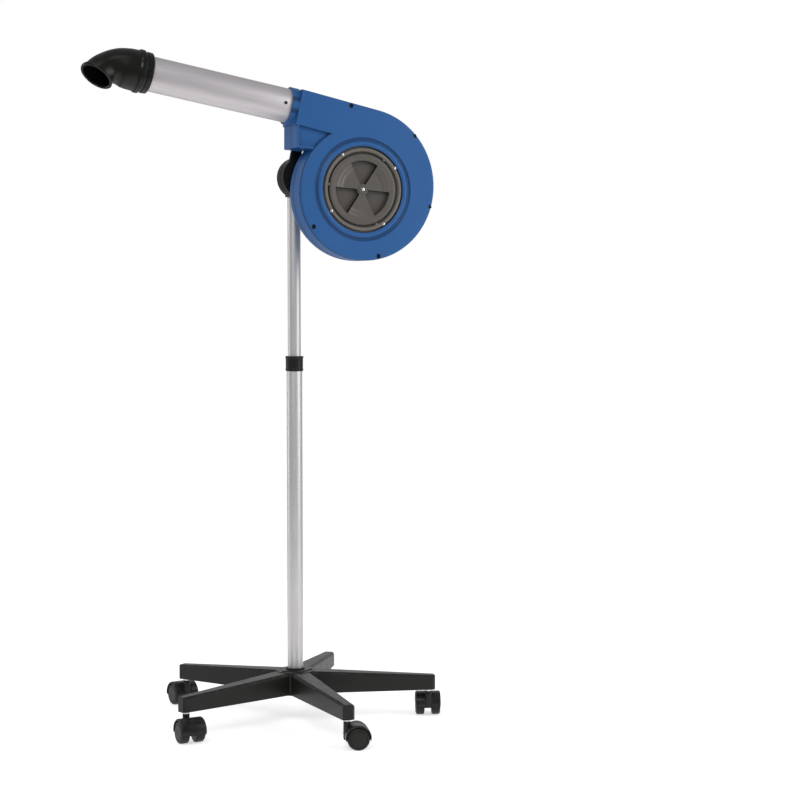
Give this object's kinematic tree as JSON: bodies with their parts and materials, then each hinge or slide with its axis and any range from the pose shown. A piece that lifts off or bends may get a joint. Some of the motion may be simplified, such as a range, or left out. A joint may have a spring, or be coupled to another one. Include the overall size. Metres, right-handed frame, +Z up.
{
  "type": "pet dryer stand",
  "caption": "Stand pet dryer: blue blower housing with turning inlet shutter, long metal outlet tube and black elbow nozzle, on a telescopic column with a star base on casters.",
  "frame": {"origin": "on the floor at the axis of the column", "axes": "+Z up along the column, the air inlet faces -Y, the outlet tube points towards -X"},
  "size_m": [0.8632, 0.662, 1.5177],
  "materials": {
    "base_plastic": "satin",
    "joint_plastic": "satin",
    "knob_plastic": "satin",
    "column_aluminium": "satin anodised",
    "outlet_aluminium": "satin anodised",
    "housing_blue": "semi-gloss moulded",
    "grille_plastic": "satin",
    "ring_plastic": "satin",
    "shutter_plastic": "satin",
    "black_steel": "black oxide",
    "zinc_steel": "zinc plated",
    "ground_steel": "ground",
    "motor_steel": "painted",
    "impeller_plastic": "matte",
    "fibre": "pressed fibre",
    "mica_board": "matte",
    "heating_wire": "oxidised",
    "nozzle_plastic": "semi-gloss moulded",
    "switch_plastic": "gloss",
    "caster_plastic": "semi-gloss",
    "wheel_plastic": "satin"
  },
  "bodies": {
    "base": {"star_base": "base_plastic", "caster_stems": "zinc_steel", "base_bolt": "zinc_steel", "lower_tube": "column_aluminium", "height_collar": "base_plastic"},
    "collar_knob": {"collar_knob": "knob_plastic"},
    "bush": {"collar_bush": "knob_plastic"},
    "column": {"upper_tube": "column_aluminium", "guide_plug": "knob_plastic", "tilt_hub": "joint_plastic"},
    "head": {"tilt_plate": "joint_plastic", "plate_screws": "zinc_steel", "friction_washer": "fibre", "tilt_bolt": "zinc_steel", "rear_shell": "housing_blue", "front_shell": "housing_blue", "shell_screws": "black_steel", "inlet_ring": "ring_plastic", "ring_screws": "zinc_steel", "grille_plate": "grille_plastic", "shutter_screw": "zinc_steel", "motor_bearings": "ground_steel", "motor": "motor_steel", "motor_cover": "joint_plastic", "cover_screws": "zinc_steel", "cord_gland": "knob_plastic", "heater_frame": "mica_board", "heater_coils": "heating_wire", "outlet_tube": "outlet_aluminium", "tube_screws": "black_steel"},
    "tilt_knob": {"tilt_knob": "knob_plastic"},
    "shutter": {"shutter_disc": "shutter_plastic"},
    "rotor": {"impeller": "impeller_plastic", "motor_shaft": "ground_steel"},
    "nozzle": {"nozzle": "nozzle_plastic", "nozzle_clamp": "black_steel"},
    "blower_switch": {"blower_switch": "switch_plastic"},
    "heat_switch": {"heat_switch": "switch_plastic"},
    "caster_1": {"caster_hood_1": "caster_plastic", "caster_axle_1": "zinc_steel"},
    "wheel_left_1": {"wheel_left_1": "wheel_plastic"},
    "wheel_right_1": {"wheel_right_1": "wheel_plastic"},
    "caster_2": {"caster_hood_2": "caster_plastic", "caster_axle_2": "zinc_steel"},
    "wheel_left_2": {"wheel_left_2": "wheel_plastic"},
    "wheel_right_2": {"wheel_right_2": "wheel_plastic"},
    "caster_3": {"caster_hood_3": "caster_plastic", "caster_axle_3": "zinc_steel"},
    "wheel_left_3": {"wheel_left_3": "wheel_plastic"},
    "wheel_right_3": {"wheel_right_3": "wheel_plastic"},
    "caster_4": {"caster_hood_4": "caster_plastic", "caster_axle_4": "zinc_steel"},
    "wheel_left_4": {"wheel_left_4": "wheel_plastic"},
    "wheel_right_4": {"wheel_right_4": "wheel_plastic"},
    "caster_5": {"caster_hood_5": "caster_plastic", "caster_axle_5": "zinc_steel"},
    "wheel_left_5": {"wheel_left_5": "wheel_plastic"},
    "wheel_right_5": {"wheel_right_5": "wheel_plastic"}
  },
  "joints": [
    {"name": "collar_knob_turn", "type": "hinge", "parent": "base", "child": "collar_knob", "pos_m": [0, 0, 0.823], "axis": [0.6018, 0.7986, 0], "range_deg": [-180, 180]},
    {"name": "column_pan", "type": "hinge", "parent": "base", "child": "bush", "pos_m": [0, 0, 0.812], "axis": [0, 0, 1], "continuous": true},
    {"name": "column_height", "type": "slide", "parent": "bush", "child": "column", "axis": [0, 0, 1], "range_m": [-0.32, 0.3]},
    {"name": "head_tilt", "type": "hinge", "parent": "column", "child": "head", "pos_m": [0, 0, 1.254], "axis": [0, 1, 0], "range_deg": [-45, 30]},
    {"name": "tilt_knob_turn", "type": "hinge", "parent": "head", "child": "tilt_knob", "pos_m": [0, 0.035, 1.254], "axis": [0, 1, 0], "range_deg": [-180, 180]},
    {"name": "shutter_turn", "type": "hinge", "parent": "head", "child": "shutter", "pos_m": [0.11232, -0.141, 1.2246], "axis": [0, -1, 0], "range_deg": [0, 60]},
    {"name": "fan_spin", "type": "hinge", "parent": "head", "child": "rotor", "pos_m": [0.11232, -0.09, 1.2246], "axis": [0, -1, 0], "continuous": true},
    {"name": "nozzle_turn", "type": "hinge", "parent": "head", "child": "nozzle", "pos_m": [-0.3891, -0.103, 1.46922], "axis": [-0.9842, 0, 0.1771], "continuous": true},
    {"name": "blower_switch_rock", "type": "hinge", "parent": "head", "child": "blower_switch", "pos_m": [0.09864, 0.034, 1.22756], "axis": [0.9774, 0, -0.2113], "range_deg": [0, 12]},
    {"name": "heat_switch_rock", "type": "hinge", "parent": "head", "child": "heat_switch", "pos_m": [0.12601, 0.034, 1.22164], "axis": [0.9774, 0, -0.2113], "range_deg": [0, 12]},
    {"name": "caster_1_swivel", "type": "hinge", "parent": "base", "child": "caster_1", "pos_m": [-0.18777, 0.24917, 0.05], "axis": [0, 0, 1], "continuous": true},
    {"name": "wheel_left_1_roll", "type": "hinge", "parent": "caster_1", "child": "wheel_left_1", "pos_m": [-0.19176, 0.27182, 0.025], "axis": [-0.9848, -0.1736, 0], "continuous": true},
    {"name": "wheel_right_1_roll", "type": "hinge", "parent": "caster_1", "child": "wheel_right_1", "pos_m": [-0.19176, 0.27182, 0.025], "axis": [-0.9848, -0.1736, 0], "continuous": true},
    {"name": "caster_2_swivel", "type": "hinge", "parent": "base", "child": "caster_2", "pos_m": [-0.295, -0.10158, 0.05], "axis": [0, 0, 1], "continuous": true},
    {"name": "wheel_left_2_roll", "type": "hinge", "parent": "caster_2", "child": "wheel_left_2", "pos_m": [-0.293, -0.12449, 0.025], "axis": [0.9962, 0.0872, 0], "continuous": true},
    {"name": "wheel_right_2_roll", "type": "hinge", "parent": "caster_2", "child": "wheel_right_2", "pos_m": [-0.293, -0.12449, 0.025], "axis": [0.9962, 0.0872, 0], "continuous": true},
    {"name": "caster_3_swivel", "type": "hinge", "parent": "base", "child": "caster_3", "pos_m": [0.00545, -0.31195, 0.05], "axis": [0, 0, 1], "continuous": true},
    {"name": "wheel_left_3_roll", "type": "hinge", "parent": "caster_3", "child": "wheel_left_3", "pos_m": [0.02766, -0.3179, 0.025], "axis": [0.2588, 0.9659, 0], "continuous": true},
    {"name": "wheel_right_3_roll", "type": "hinge", "parent": "caster_3", "child": "wheel_right_3", "pos_m": [0.02766, -0.3179, 0.025], "axis": [0.2588, 0.9659, 0], "continuous": true},
    {"name": "caster_4_swivel", "type": "hinge", "parent": "base", "child": "caster_4", "pos_m": [0.29837, -0.09122, 0.05], "axis": [0, 0, 1], "continuous": true},
    {"name": "wheel_left_4_roll", "type": "hinge", "parent": "caster_4", "child": "wheel_left_4", "pos_m": [0.30623, -0.06961, 0.025], "axis": [-0.9397, 0.342, 0], "continuous": true},
    {"name": "wheel_right_4_roll", "type": "hinge", "parent": "caster_4", "child": "wheel_right_4", "pos_m": [0.30623, -0.06961, 0.025], "axis": [-0.9397, 0.342, 0], "continuous": true},
    {"name": "caster_5_swivel", "type": "hinge", "parent": "base", "child": "caster_5", "pos_m": [0.17896, 0.25557, 0.05], "axis": [0, 0, 1], "continuous": true},
    {"name": "wheel_left_5_roll", "type": "hinge", "parent": "caster_5", "child": "wheel_left_5", "pos_m": [0.1563, 0.25158, 0.025], "axis": [0.1736, -0.9848, 0], "continuous": true},
    {"name": "wheel_right_5_roll", "type": "hinge", "parent": "caster_5", "child": "wheel_right_5", "pos_m": [0.1563, 0.25158, 0.025], "axis": [0.1736, -0.9848, 0], "continuous": true}
  ]
}
